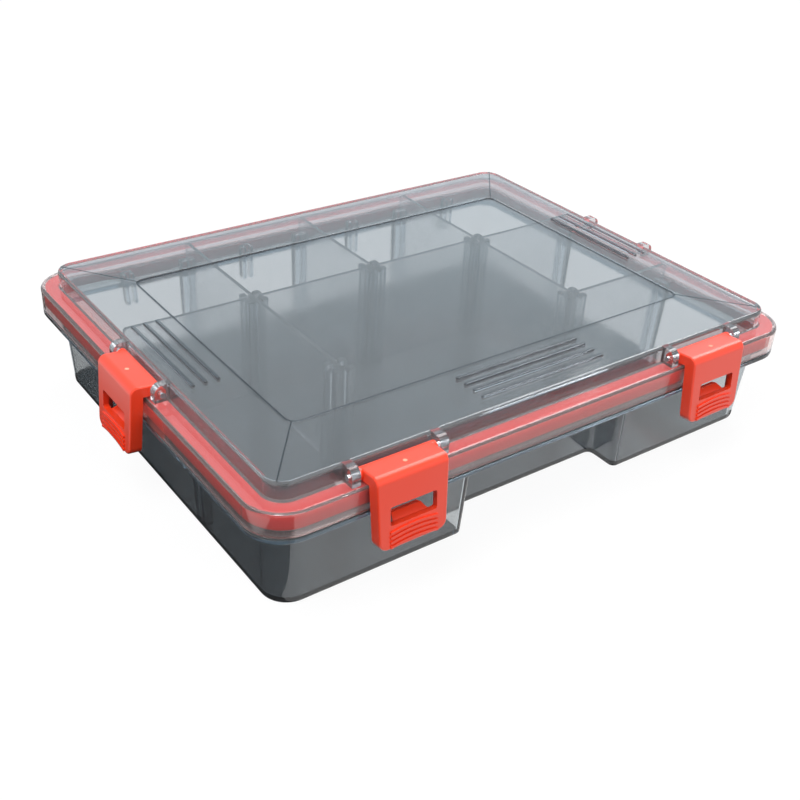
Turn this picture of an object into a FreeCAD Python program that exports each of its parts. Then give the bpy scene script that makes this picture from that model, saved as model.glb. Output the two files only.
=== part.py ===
import FreeCAD, Part
import math
import os
import re
import Sketcher

# A shallow clear box for tackle: a base tray with slotted posts and
# removable dividers, a hinged lid with a red seal in its rim, and red
# latches that hang on ears of the lid and hook under the tray's flange.
# Millimetres. Origin on the ground in the middle of the base, +X along
# the long side, the front (two latches) towards -Y, +Z up.

os.makedirs("parts", exist_ok=True)
doc = FreeCAD.newDocument("tackle_box")
sheet = doc.addObject("Spreadsheet::Sheet", "Sizes")

SIZES = [
    # Outline and heights
    ("box_length", 222.0, "rim, outside, along X"),
    ("box_width", 174.6, "rim, outside, along Y"),
    ("box_height", 46.0, "ground to the top of the lid's raised middle"),
    ("rim_corner", 13.5, "rim corner radius in plan"),
    ("shelf_under", 29.3, "height of the tray flange's underside"),
    ("shelf_thick", 2.2, "thickness of the tray's flange"),
    ("shelf_round", 0.7, "rounding of the flange's outer edges"),
    ("seam_gap", 0.3, "gap between the flange and the lid's skirt"),
    # Tray
    ("foot_inset", 7.6, "rim face to the wall's foot"),
    ("wall_inset", 6.3, "rim face to the wall under the flange"),
    ("wall_thick", 1.6, "thickness of the tray's wall"),
    ("floor_thick", 2.0, "thickness of the tray's floor"),
    ("base_corner", 9.0, "corner radius of the tray's wall"),
    ("foot_round", 1.3, "rounding under the tray's foot"),
    ("curb_inset", 6.5, "rim face to the curb above the flange"),
    ("curb_thick", 1.6, "thickness of that curb"),
    ("curb_gap", 0.6, "curb's top to the lid above it"),
    ("bead_inset", 3.6, "rim face to the bead under the seal"),
    ("bead_thick", 1.4, "thickness of that bead"),
    ("bead_gap", 0.2, "bead's top to the seal"),
    # Hand recess in the front wall
    ("recess_half", 34.0, "half the recess's width at the foot"),
    ("recess_depth", 12.0, "depth of the recess"),
    ("mouth_corner", 2.5, "rounding of the recess's mouth"),
    ("recess_corner", 2.0, "rounding of the recess's inner corners"),
    # Lid
    ("skirt_thick", 1.6, "thickness of the lid's skirt"),
    ("rim_top", 40.2, "height of the lid's flange"),
    ("rim_thick", 1.6, "thickness of the lid's flange"),
    ("rim_round", 1.3, "rounding of the lid's outer edge"),
    ("plateau_inset", 6.7, "rim face to the raised middle's wall"),
    ("plateau_wall", 1.6, "thickness of that wall"),
    ("plateau_round", 0.9, "rounding of the raised middle's edge"),
    ("roof_thick", 2.0, "thickness of the lid's roof"),
    ("land_width", 1.2, "flat land round the dished frame"),
    ("panel_length", 168.0, "inner panel along X"),
    ("panel_width", 110.5, "inner panel along Y"),
    ("panel_corner", 4.0, "inner panel's corner radius"),
    ("frame_fall", 0.5, "fall of the frame towards the panel"),
    ("panel_step", 0.4, "step at the panel's edge"),
    # Stiffening ribs on the lid
    ("rib_width", 1.3, "width of a rib"),
    ("rib_rise", 0.6, "rib's top above the lid"),
    ("rib_round", 0.45, "rounding of a rib's top"),
    ("front_rib_length", 52.0, "length of the front ribs"),
    ("front_rib_inset", 13.6, "rim face to the first front rib"),
    ("front_rib_pitch", 4.3, "spacing of the front ribs"),
    ("front_rib_count", 4, "front ribs"),
    ("side_rib_length", 45.0, "length of the side ribs"),
    ("side_rib_inset", 12.2, "rim face to the first side rib"),
    ("side_rib_pitch", 4.4, "spacing of the side ribs"),
    ("side_rib_count", 3, "side ribs on each side"),
    # Seal
    ("seal_width", 4.5, "width of the seal"),
    ("seal_depth", 5.0, "height of the seal"),
    ("seal_round", 0.7, "rounding of the seal's lower edges"),
    ("seal_gap", 0.05, "seal to the lid's flange and skirt"),
    # Ears and latch pivots
    ("latch_station", 65.0, "middle of the box to a front latch"),
    ("pivot_inset", 4.3, "rim face to the latch's pivot"),
    ("pivot_height", 42.3, "height of the latch's pivot"),
    ("ear_gap", 28.2, "clear space between a pair of ears"),
    ("ear_thick", 3.0, "thickness of an ear"),
    ("ear_reach", 5.2, "ear's length out from the wall"),
    ("ear_round", 2.8, "rounding of the ear's nose"),
    ("pivot_pin", 0.9, "radius of a latch's pin"),
    ("pin_play", 0.05, "running clearance round a pin"),
    # Latch
    ("latch_width", 25.5, "width of a latch at the top"),
    ("latch_foot", 24.0, "width of a latch at the foot"),
    ("latch_reach", 8.8, "pivot to the latch's outer face"),
    ("latch_drop", 23.1, "pivot to the latch's foot"),
    ("latch_plate", 2.0, "thickness of the latch"),
    ("latch_bend", 2.6, "outer radius of the latch's bend"),
    ("latch_corner", 3.0, "radius of the latch's lower corners"),
    ("latch_round", 0.6, "rounding of the latch's outer edges"),
    ("latch_web", 1.6, "thickness of the latch's side webs"),
    ("latch_lip", 1.2, "thickness of the latch's bottom lip"),
    ("barrel_radius", 1.9, "radius of the latch's barrel"),
    ("barrel_play", 0.3, "barrel's end to an ear"),
    ("latch_play", 0.2, "closed latch to the rim face"),
    ("window_width", 16.6, "window in the latch"),
    ("window_height", 6.4, "height of that window"),
    ("window_corner", 0.8, "radius of the window's corners"),
    ("hook_width", 12.4, "width of the hook at the plate"),
    ("hook_cut", 2.0, "slant of each end of the hook"),
    ("hook_reach", 3.5, "length of the hook"),
    ("hook_gap", 0.6, "closed hook's top to the flange"),
    ("hook_barb", 1.5, "rise of the hook's tip above the sill"),
    ("hook_nose", 1.4, "flat on the hook's tip"),
    ("hook_depth", 3.0, "depth of the hook's root"),
    ("grip_width", 17.0, "length of a grip ridge"),
    ("grip_thick", 0.8, "width of a grip ridge"),
    ("grip_rise", 0.5, "height of a grip ridge"),
    ("grip_arch", 44.0, "radius that the grip ridges follow"),
    ("grip_pitch", 1.6, "spacing of the grip ridges"),
    ("grip_count", 4, "grip ridges"),
    ("grip_first", 1.5, "sill to the first grip ridge"),
    ("rest_angle", 5.0, "lean of a released latch"),
    # Hinges at the back
    ("hinge_station", 62.0, "middle of the box to a hinge"),
    ("hinge_out", 1.9, "rim face to the hinge's axis"),
    ("hinge_radius", 2.6, "radius of the knuckles"),
    ("hinge_middle", 15.4, "length of the lid's knuckle"),
    ("hinge_side", 8.0, "length of a tray knuckle"),
    ("hinge_gap", 0.3, "gap between knuckles"),
    ("hinge_clear", 0.3, "space round a knuckle"),
    ("hinge_pin", 1.2, "radius of a hinge pin"),
    ("knuckle_root", 2.3, "how far a knuckle's root runs in"),
    # Compartments
    ("cell_pitch", 51.5, "spacing of the posts along X"),
    ("back_row", 24.5, "row of posts behind the middle"),
    ("front_row", 32.0, "row of posts in front of the middle"),
    ("post_size", 8.0, "side of a slotted post"),
    ("post_corner", 0.6, "corner radius of a post"),
    ("groove_width", 1.8, "width of a groove"),
    ("groove_depth", 2.2, "depth of a groove"),
    ("lead_width", 3.4, "width of a groove's lead-in"),
    ("lead_depth", 1.4, "depth of that lead-in"),
    ("station_width", 6.5, "width of a slotted wall rib"),
    ("station_depth", 2.4, "depth of a slotted wall rib"),
    ("hanger_width", 4.4, "width of a short slotted rib"),
    ("hanger_foot", 23.5, "height of a short rib's foot"),
    ("station_gap", 0.5, "slotted rib's top to the curb's top"),
    ("divider_thick", 1.5, "thickness of a divider"),
    ("divider_gap", 0.3, "divider's top to the lid's roof"),
    ("divider_play", 0.3, "divider's end to its groove"),
    ("divider_corner", 1.2, "radius of a divider's top corners"),
    # How details are made
    ("cut_over", 1.0, "how far a cut runs past the face it leaves"),
    ("detail_bite", 0.2, "how far a raised detail starts inside its wall"),
]

for row, (alias, value, note) in enumerate(SIZES, start=1):
    sheet.set("A%d" % row, note)
    sheet.set("B%d" % row, str(value))
    sheet.setAlias("B%d" % row, alias)
doc.recompute()


def ex(text):
    """An expression on the sheet: each word in it is one of its aliases."""
    return re.sub(r"[a-z][a-z_]+", lambda m: "Sizes." + m.group(0), text)


def val(text):
    """The number that such an expression stands for."""
    return float(sheet.evalExpression(ex(text)))


# Heights and lines that several pieces share
SHELF_TOP = "(shelf_under + shelf_thick)"
SKIRT_LOW = "(shelf_under + shelf_thick + seam_gap)"
RIM_UNDER = "(rim_top - rim_thick)"
ROOF_UNDER = "(box_height - roof_thick)"
CURB_TOP = "(rim_top - rim_thick - curb_gap)"
STATION_TOP = "(rim_top - rim_thick - curb_gap - station_gap)"
DIVIDER_TOP = "(box_height - roof_thick - divider_gap)"
PANEL_FLOOR = "(box_height - frame_fall)"
SEAL_INSET = "(skirt_thick + seal_gap)"
SEAL_LOW = "(rim_top - rim_thick - seal_gap - seal_depth)"
HINGE_Y = "(box_width / 2 + hinge_out)"
HINGE_Z = "(shelf_under + shelf_thick + seam_gap / 2)"
TRAY_INSET = "(foot_inset + wall_thick)"
CURB_INNER = "(curb_inset + curb_thick)"
# A line inside the tray's sloping wall at every height
WALL_CORE = "((foot_inset + curb_inset + curb_thick) / 2)"


def new_body(name):
    body = doc.addObject("PartDesign::Body", name)
    body.Label = name
    return body


def new_sketch(body, name, plane, offset=None):
    """A sketch on one of the body's own planes, moved along its normal."""
    sketch = body.newObject("Sketcher::SketchObject", name)
    base = [f for f in body.Origin.OriginFeatures if f.Role == plane][0]
    sketch.AttachmentSupport = [(base, "")]
    sketch.MapMode = "FlatFace"
    if offset:
        sketch.setExpression("AttachmentOffset.Base.z", ex(offset))
    return sketch


def hold(sketch, rules):
    """Adds constraints; a rule is (text or None, *Sketcher.Constraint's own).

    A text is an expression on the sheet that drives the constraint's value.
    """
    made = []
    for text, *parts in rules:
        if text is not None:
            parts.append(val(text))
        made.append(Sketcher.Constraint(*parts))
    places = sketch.addConstraint(made)
    for place, rule in zip(places, rules):
        if rule[0] is not None:
            sketch.setExpression("Constraints[%d]" % place, ex(rule[0]))


def outline(sketch, corners):
    """A closed outline through corners (x, y, radius or None)."""
    points = [FreeCAD.Vector(val(x), val(y), 0) for x, y, r in corners]
    count = len(points)
    starts, ends, arcs = [], [], []
    for i, (x, y, r) in enumerate(corners):
        here = points[i]
        if r is None:
            starts.append(here)
            ends.append(here)
            arcs.append(None)
            continue
        radius = val(r)
        back = (points[i - 1] - here).normalize()
        ahead = (points[(i + 1) % count] - here).normalize()
        half = back.getAngle(ahead) / 2
        middle = (back + ahead).normalize()
        run = radius / math.tan(half)
        centre = here + middle * (radius / math.sin(half))
        ends.append(here + back * run)
        starts.append(here + ahead * run)
        left = back.cross(ahead).z < 0
        arcs.append((Part.Arc(ends[i], centre - middle * radius, starts[i]), left))
    shapes = [Part.LineSegment(starts[i], ends[(i + 1) % count])
              for i in range(count)]
    turns = [i for i in range(count) if arcs[i]]
    first = sketch.GeometryCount
    sketch.addGeometry(shapes + [arcs[i][0] for i in turns], False)
    rules = []
    for i in range(count):
        before = first + (i - 1) % count
        after = first + i
        if arcs[i]:
            arc = first + count + turns.index(i)
            enter, leave = (1, 2) if arcs[i][1] else (2, 1)
            rules.append((None, "Tangent", before, 2, arc, enter))
            rules.append((None, "Tangent", arc, leave, after, 1))
            rules.append((corners[i][2], "Radius", arc))
        else:
            rules.append((None, "Coincident", before, 2, after, 1))
    for i in range(count):
        j = (i + 1) % count
        line = first + i
        run = points[j] - points[i]
        if abs(run.y) < 1e-6:
            rules.append((None, "Horizontal", line))
            rules.append((corners[i][1], "DistanceY", -1, 1, line, 1))
        elif abs(run.x) < 1e-6:
            rules.append((None, "Vertical", line))
            rules.append((corners[i][0], "DistanceX", -1, 1, line, 1))
        else:
            for k in (i, j):
                spot = sketch.addGeometry(Part.Point(points[k]), True)
                rules.append((corners[k][0], "DistanceX", -1, 1, spot, 1))
                rules.append((corners[k][1], "DistanceY", -1, 1, spot, 1))
                rules.append((None, "PointOnObject", spot, 1, line))
    hold(sketch, rules)


def rectangle(sketch, x_half, y_half, corner):
    """A rounded rectangle about the sketch's origin."""
    outline(sketch, [
        ("-" + x_half, "-" + y_half, corner), (x_half, "-" + y_half, corner),
        (x_half, y_half, corner), ("-" + x_half, y_half, corner)])


def rim_rectangle(sketch, inset, corner=None):
    """A rounded rectangle that follows the rim at an inset."""
    rectangle(sketch, "(box_length / 2 - %s)" % inset,
              "(box_width / 2 - %s)" % inset,
              corner or "(rim_corner - %s)" % inset)


def block(sketch, x_low, x_high, y_low, y_high, corner=None):
    outline(sketch, [(x_low, y_low, corner), (x_high, y_low, corner),
                     (x_high, y_high, corner), (x_low, y_high, corner)])


def circle(sketch, x, y, radius):
    """A circle about a point, or about the sketch's origin."""
    spot = FreeCAD.Vector(val(x) if x else 0, val(y) if y else 0, 0)
    ring = sketch.addGeometry(Part.Circle(
        spot, FreeCAD.Vector(0, 0, 1), val(radius)), False)
    rules = [(radius, "Radius", ring)]
    if x:
        rules.append((x, "DistanceX", -1, 1, ring, 3))
        rules.append((y, "DistanceY", -1, 1, ring, 3))
    else:
        rules.append((None, "Coincident", ring, 3, -1, 1))
    hold(sketch, rules)


def feature(body, kind, name, sketch, length, both=False, back=False):
    """A pad or pocket; both ways about its sketch, or reversed."""
    made = body.newObject("PartDesign::" + kind, name)
    made.Profile = sketch
    made.setExpression("Length", ex(length))
    made.Reversed = back
    if both:
        made.SideType = "Symmetric"
    made.Refine = False
    sketch.Visibility = False
    body.Tip = made
    return made


def loft(body, kind, name, first, last):
    made = body.newObject("PartDesign::" + kind, name)
    made.Profile = first
    made.Sections = [last]
    made.Ruled = True
    made.Refine = False
    body.Tip = made
    return made


def row_of(body, name, originals, axis, pitch, count, back=False):
    """Copies in a row along X_Axis, Y_Axis or Z_Axis."""
    made = body.newObject("PartDesign::LinearPattern", name)
    made.Originals = originals
    along = [f for f in body.Origin.OriginFeatures if f.Role == axis][0]
    made.Direction = (along, [""])
    made.Mode = "Spacing"
    made.setExpression("Offset", ex(pitch))
    if count in ALIASES:
        made.setExpression("Occurrences", ex(count))
    else:
        made.Occurrences = int(count)
    made.Reversed = back
    made.Refine = False
    body.Tip = made
    return made


def round_edges(body, name, radius, test):
    """Rounds the edges of the body's tip whose ends all pass the test."""
    base = body.Tip
    base.Refine = True
    doc.recompute()
    names = []
    for i, edge in enumerate(base.Shape.Edges, start=1):
        middle = edge.valueAt((edge.FirstParameter + edge.LastParameter) / 2)
        spots = [v.Point for v in edge.Vertexes] + [middle]
        if all(test(p) for p in spots):
            names.append("Edge%d" % i)
    made = body.newObject("PartDesign::Fillet", name)
    made.Base = (base, names)
    made.setExpression("Radius", ex(radius))
    body.Tip = made
    return made


def near(a, b, slack=0.02):
    return abs(a - b) < slack


ALIASES = [alias for alias, value, note in SIZES]


# Base tray
def recess_outline(sketch, inset, grow, corner, mouth, inner):
    """The tray's plan with the hand recess in its front wall."""
    x_half = "(box_length / 2 - %s)" % inset
    y_half = "(box_width / 2 - %s)" % inset
    side = "(recess_half + %s)" % grow
    deep = "(box_width / 2 - %s - recess_depth)" % inset
    outline(sketch, [
        ("-" + x_half, "-" + y_half, corner),
        ("-" + side, "-" + y_half, mouth),
        ("-" + side, "-" + deep, inner),
        (side, "-" + deep, inner),
        (side, "-" + y_half, mouth),
        (x_half, "-" + y_half, corner),
        (x_half, y_half, corner),
        ("-" + x_half, y_half, corner)])


tray = new_body("base_tray")
foot = new_sketch(tray, "foot_plan", "XY_Plane")
recess_outline(foot, "foot_inset", "0", "base_corner", "mouth_corner",
               "recess_corner")
neck = new_sketch(tray, "neck_plan", "XY_Plane", "shelf_under")
recess_outline(neck, "wall_inset", "(wall_inset - foot_inset)",
               "base_corner", "mouth_corner", "recess_corner")
loft(tray, "AdditiveLoft", "tray_wall", foot, neck)
round_edges(tray, "foot_edge", "foot_round", lambda p: near(p.z, 0))

shelf = new_sketch(tray, "shelf_plan", "XY_Plane", "shelf_under")
rim_rectangle(shelf, "0")
feature(tray, "Pad", "shelf", shelf, "shelf_thick")
round_edges(
    tray, "shelf_edge", "shelf_round",
    lambda p: (near(p.z, val("shelf_under")) or near(p.z, val(SHELF_TOP)))
    and (abs(p.x) > val("box_length / 2 - rim_corner / 2")
         or abs(p.y) > val("box_width / 2 - rim_corner / 2")))

curb = new_sketch(tray, "curb_plan", "XY_Plane", SHELF_TOP)
rim_rectangle(curb, "curb_inset")
feature(tray, "Pad", "curb", curb, "%s - %s" % (CURB_TOP, SHELF_TOP))

floor_plan = new_sketch(tray, "floor_plan", "XY_Plane", "floor_thick")
recess_outline(floor_plan, TRAY_INSET, "wall_thick",
               "(base_corner - wall_thick)", "(mouth_corner - wall_thick)",
               "(recess_corner + wall_thick)")
mouth_plan = new_sketch(tray, "mouth_plan", "XY_Plane", SHELF_TOP)
recess_outline(mouth_plan, CURB_INNER,
               "(wall_thick - %s + %s)" % (TRAY_INSET, CURB_INNER),
               "(base_corner - wall_thick)", "(mouth_corner - wall_thick)",
               "(recess_corner + wall_thick)")
loft(tray, "SubtractiveLoft", "tray_hollow", floor_plan, mouth_plan)
curb_hole = new_sketch(tray, "curb_hole", "XY_Plane", CURB_TOP)
rim_rectangle(curb_hole, CURB_INNER, "(base_corner - wall_thick)")
feature(tray, "Pocket", "curb_hollow", curb_hole,
        "%s - %s" % (CURB_TOP, SHELF_TOP))

bead = new_sketch(tray, "bead_plan", "XY_Plane", SHELF_TOP)
rim_rectangle(bead, "bead_inset")
rim_rectangle(bead, "(bead_inset + bead_thick)")
feature(tray, "Pad", "bead", bead, "%s - bead_gap - %s" % (SEAL_LOW, SHELF_TOP))

# Slotted posts that stand on the floor


def slotted_plan(sketch, x, y):
    """A square post's plan with a groove in each side."""
    out, deep = "post_size / 2", "(post_size / 2 - groove_depth)"
    slot = "groove_width / 2"

    def at(base, sign, size):
        return "%s %s %s" % (base, sign, size)

    corners = []
    corners += [(at(x, "-", out), at(y, "-", out), "post_corner"),
                (at(x, "-", slot), at(y, "-", out), None),
                (at(x, "-", slot), at(y, "-", deep), None),
                (at(x, "+", slot), at(y, "-", deep), None),
                (at(x, "+", slot), at(y, "-", out), None)]
    corners += [(at(x, "+", out), at(y, "-", out), "post_corner"),
                (at(x, "+", out), at(y, "-", slot), None),
                (at(x, "+", deep), at(y, "-", slot), None),
                (at(x, "+", deep), at(y, "+", slot), None),
                (at(x, "+", out), at(y, "+", slot), None)]
    corners += [(at(x, "+", out), at(y, "+", out), "post_corner"),
                (at(x, "+", slot), at(y, "+", out), None),
                (at(x, "+", slot), at(y, "+", deep), None),
                (at(x, "-", slot), at(y, "+", deep), None),
                (at(x, "-", slot), at(y, "+", out), None)]
    corners += [(at(x, "-", out), at(y, "+", out), "post_corner"),
                (at(x, "-", out), at(y, "+", slot), None),
                (at(x, "-", deep), at(y, "+", slot), None),
                (at(x, "-", deep), at(y, "-", slot), None),
                (at(x, "-", out), at(y, "-", slot), None)]
    outline(sketch, corners)


def post_row(name, y, pitch, count):
    """A row of posts with flared lead-ins, from the left one on."""
    plan = new_sketch(tray, name + "_plan", "XY_Plane", "floor_thick / 2")
    slotted_plan(plan, "-cell_pitch", y)
    post = feature(tray, "Pad", name + "_post", plan,
                   "%s - floor_thick / 2" % DIVIDER_TOP)
    cuts = [post]
    wide, slim = "lead_width / 2", "groove_width / 2"
    for tag, plane, base in (("x", "YZ_Plane", y), ("y", "XZ_Plane", "-cell_pitch")):
        offset = "-cell_pitch" if tag == "x" else "-(%s)" % y
        flare = new_sketch(tray, "%s_flare_%s" % (name, tag), plane, offset)
        outline(flare, [
            ("%s - %s" % (base, slim), DIVIDER_TOP + " - lead_depth", None),
            ("%s + %s" % (base, slim), DIVIDER_TOP + " - lead_depth", None),
            ("%s + %s" % (base, wide), DIVIDER_TOP + " + lead_depth / 9", None),
            ("%s - %s" % (base, wide), DIVIDER_TOP + " + lead_depth / 9", None)])
        cuts.append(feature(tray, "Pocket", "%s_lead_%s" % (name, tag), flare,
                            "post_size + cut_over", both=True))
    row_of(tray, name + "_posts", cuts, "X_Axis", pitch, count)


post_row("back", "back_row", "cell_pitch", "3")
post_row("front", "-front_row", "cell_pitch * 2", "2")

# Slotted ribs on the walls


def wall_rib(name, plane_turn, along, width, foot, axis, pitch, count):
    """Slotted ribs on the back wall (plane_turn 0) or a side wall (1, -1)."""
    half = "(box_width / 2 - %s)" if plane_turn == 0 else "(box_length / 2 - %s)"
    face = half % ("%s - station_depth" % TRAY_INSET)
    root = half % WALL_CORE
    deep = half % ("%s - station_depth + groove_depth" % TRAY_INSET)
    left, right = "(%s - %s / 2)" % (along, width), "(%s + %s / 2)" % (along, width)
    low, high = ("(%s - groove_width / 2)" % along,
                 "(%s + groove_width / 2)" % along)
    flat = [(left, face), (low, face), (low, deep), (high, deep),
            (high, face), (right, face), (right, root), (left, root)]
    sketch = new_sketch(tray, name + "_plan", "XY_Plane", foot)
    if plane_turn == 0:
        corners = [(a, b, None) for a, b in flat]
    elif plane_turn > 0:
        corners = [(b, a, None) for a, b in reversed(flat)]
    else:
        corners = [("-" + b, a, None) for a, b in flat]
    outline(sketch, corners)
    rib = feature(tray, "Pad", name + "_rib", sketch,
                  "%s - %s" % (STATION_TOP, foot))
    if count:
        row_of(tray, name + "_ribs", [rib], axis, pitch, count)


wall_rib("back_station", 0, "-cell_pitch", "station_width", "floor_thick / 2",
         "X_Axis", "cell_pitch", "3")
wall_rib("back_hanger", 0, "-(cell_pitch * 3 / 2)", "hanger_width", "hanger_foot",
         "X_Axis", "cell_pitch", "4")
for side, turn in (("left", -1), ("right", 1)):
    wall_rib(side + "_station", turn, "-front_row", "station_width",
             "floor_thick / 2", "Y_Axis", "front_row + back_row", "2")

# Hinge knuckles of the tray
HINGE_HALF = "(hinge_middle / 2 + hinge_gap + hinge_side)"
SIGNS = (("left", "-"), ("right", ""))
for side, sign in SIGNS:
    station = sign + "hinge_station"
    room = new_sketch(tray, side + "_room", "YZ_Plane", station)
    circle(room, HINGE_Y, HINGE_Z, "hinge_radius + hinge_clear")
    feature(tray, "Pocket", side + "_knuckle_room", room,
            "hinge_middle + hinge_gap * 2", both=True)
    for end, more in (("a", "- " + HINGE_HALF),
                      ("b", "+ hinge_middle / 2 + hinge_gap")):
        tag = "%s_%s" % (side, end)
        start = "%s %s" % (station, more)
        root = new_sketch(tray, tag + "_root", "YZ_Plane", start)
        outline(root, [
            ("box_width / 2 - knuckle_root", "shelf_under", None),
            (HINGE_Y, "shelf_under", None),
            (HINGE_Y, SHELF_TOP, None),
            ("box_width / 2 - knuckle_root", SHELF_TOP, None)])
        feature(tray, "Pad", tag + "_knuckle_root", root, "hinge_side")
        barrel = new_sketch(tray, tag + "_barrel", "YZ_Plane", start)
        circle(barrel, HINGE_Y, HINGE_Z, "hinge_radius")
        feature(tray, "Pad", tag + "_knuckle", barrel, "hinge_side")
    bore = new_sketch(tray, side + "_bore", "YZ_Plane", station)
    circle(bore, HINGE_Y, HINGE_Z, "hinge_pin + pin_play")
    feature(tray, "Pocket", side + "_pin_bore", bore,
            HINGE_HALF + " * 2 + cut_over", both=True)


# Lid
lid = new_body("lid")
rim = new_sketch(lid, "rim_plan", "XY_Plane", SKIRT_LOW)
rim_rectangle(rim, "0")
feature(lid, "Pad", "rim", rim, "rim_top - %s" % SKIRT_LOW)
round_edges(lid, "rim_edge", "rim_round", lambda p: near(p.z, val("rim_top")))
raised = new_sketch(lid, "plateau_plan", "XY_Plane", RIM_UNDER)
rim_rectangle(raised, "plateau_inset")
feature(lid, "Pad", "plateau", raised, "box_height - %s" % RIM_UNDER)
round_edges(lid, "plateau_edge", "plateau_round",
            lambda p: near(p.z, val("box_height")))

under = new_sketch(lid, "skirt_hole", "XY_Plane", SKIRT_LOW)
rim_rectangle(under, "skirt_thick")
feature(lid, "Pocket", "skirt_hollow", under,
        "%s - %s" % (RIM_UNDER, SKIRT_LOW), back=True)
roof = new_sketch(lid, "roof_hole", "XY_Plane", RIM_UNDER)
rim_rectangle(roof, "(plateau_inset + plateau_wall)")
feature(lid, "Pocket", "roof_hollow", roof,
        "%s - %s" % (ROOF_UNDER, RIM_UNDER), back=True)

# The dished frame slopes from the land down to the inner panel
high = new_sketch(lid, "frame_high", "XY_Plane", "box_height")
rim_rectangle(high, "(plateau_inset + land_width)")
low = new_sketch(lid, "frame_low", "XY_Plane", PANEL_FLOOR)
rectangle(low, "(panel_length / 2)", "(panel_width / 2)", "panel_corner")
loft(lid, "SubtractiveLoft", "dished_frame", high, low)
inner = new_sketch(lid, "panel_plan", "XY_Plane", PANEL_FLOOR)
rectangle(inner, "(panel_length / 2)", "(panel_width / 2)", "panel_corner")
feature(lid, "Pocket", "panel", inner, "panel_step")

RIB_BASE = "(box_height - frame_fall - panel_step)"
RIB_HEIGHT = "(frame_fall + panel_step + rib_rise)"
front_line = "(box_width / 2 - front_rib_inset)"
strip = new_sketch(lid, "front_rib_plan", "XY_Plane", RIB_BASE)
block(strip, "-front_rib_length / 2", "front_rib_length / 2",
      "-%s - rib_width / 2" % front_line, "-%s + rib_width / 2" % front_line,
      "rib_round")
rib = feature(lid, "Pad", "front_rib", strip, RIB_HEIGHT)
row_of(lid, "front_ribs", [rib], "Y_Axis", "front_rib_pitch",
       "front_rib_count")
for side, sign, back in (("left", "-", False), ("right", "", True)):
    line = sign + "(box_length / 2 - side_rib_inset)"
    strip = new_sketch(lid, side + "_rib_plan", "XY_Plane", RIB_BASE)
    block(strip, "%s - rib_width / 2" % line, "%s + rib_width / 2" % line,
          "-side_rib_length / 2", "side_rib_length / 2", "rib_round")
    rib = feature(lid, "Pad", side + "_rib", strip, RIB_HEIGHT)
    row_of(lid, side + "_ribs", [rib], "X_Axis", "side_rib_pitch",
           "side_rib_count", back)
round_edges(lid, "rib_tops", "rib_round * 0.8",
            lambda p: near(p.z, val("box_height + rib_rise")))

# Ears: pairs of arms that run out from the raised middle's wall
EAR_LOW = "(rim_top - rim_thick / 2)"


def ear_profile(sketch, outward, face):
    """The arm's side view; outward is the sign of its direction."""
    root = "%s(%s - plateau_wall / 2)" % (outward, face)
    nose = "%s(%s + ear_reach)" % (outward, face)
    corners = [(root, EAR_LOW, None), (nose, EAR_LOW, None),
               (nose, "box_height", "ear_round"), (root, "box_height", None)]
    outline(sketch, corners if outward == "" else corners[::-1])


def ear_pair(name, plane, station, outward, face, pivot, flip):
    """Two ears either side of a station, bored for the latch's pin."""
    for end, more in (("a", "- ear_gap / 2 - ear_thick"), ("b", "+ ear_gap / 2")):
        start = "%s(%s %s)" % (flip, station, more)
        sketch = new_sketch(lid, "%s_ear_%s" % (name, end), plane, start)
        ear_profile(sketch, outward, face)
        feature(lid, "Pad", "%s_arm_%s" % (name, end), sketch, "ear_thick",
                back=(flip == "-"))
    sketch = new_sketch(lid, name + "_hole", plane,
                        "%s(%s)" % (flip, station) if station != "0" else None)
    circle(sketch, pivot, "pivot_height", "pivot_pin + pin_play")
    feature(lid, "Pocket", name + "_bore", sketch,
            "ear_gap + ear_thick * 2 + cut_over", both=True)


WALL_Y = "(box_width / 2 - plateau_inset)"
WALL_X = "(box_length / 2 - plateau_inset)"
PIVOT_Y = "(box_width / 2 - pivot_inset)"
PIVOT_X = "(box_length / 2 - pivot_inset)"
ear_pair("front_left", "YZ_Plane", "-latch_station", "-", WALL_Y,
         "-" + PIVOT_Y, "")
ear_pair("front_right", "YZ_Plane", "latch_station", "-", WALL_Y,
         "-" + PIVOT_Y, "")
ear_pair("left", "XZ_Plane", "0", "-", WALL_X, "-" + PIVOT_X, "-")
ear_pair("right", "XZ_Plane", "0", "", WALL_X, PIVOT_X, "-")

# Hinge knuckles of the lid, on webs rooted in the skirt behind their room
WEB_ROOT = "((hinge_radius + hinge_clear - hinge_out + skirt_thick) / 2)"
for side, sign in SIGNS:
    station = sign + "hinge_station"
    room = new_sketch(lid, side + "_room", "YZ_Plane", station)
    circle(room, HINGE_Y, HINGE_Z, "hinge_radius + hinge_clear")
    feature(lid, "Pocket", side + "_knuckle_room", room,
            HINGE_HALF + " * 2 + hinge_gap * 2", both=True)
    web = new_sketch(lid, side + "_web", "YZ_Plane", station)
    outline(web, [
        ("box_width / 2 - " + WEB_ROOT, SKIRT_LOW, None),
        (HINGE_Y, SKIRT_LOW, None),
        (HINGE_Y, HINGE_Z + " + hinge_radius", None),
        ("box_width / 2", HINGE_Z + " + hinge_radius * 2", None),
        ("box_width / 2 - " + WEB_ROOT, HINGE_Z + " + hinge_radius * 2", None)])
    feature(lid, "Pad", side + "_knuckle_web", web, "hinge_middle", both=True)
    barrel = new_sketch(lid, side + "_barrel", "YZ_Plane", station)
    circle(barrel, HINGE_Y, HINGE_Z, "hinge_radius")
    feature(lid, "Pad", side + "_knuckle", barrel, "hinge_middle", both=True)
    bore = new_sketch(lid, side + "_bore", "YZ_Plane", station)
    circle(bore, HINGE_Y, HINGE_Z, "hinge_pin + pin_play")
    feature(lid, "Pocket", side + "_pin_bore", bore,
            "hinge_middle + cut_over", both=True)


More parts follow.
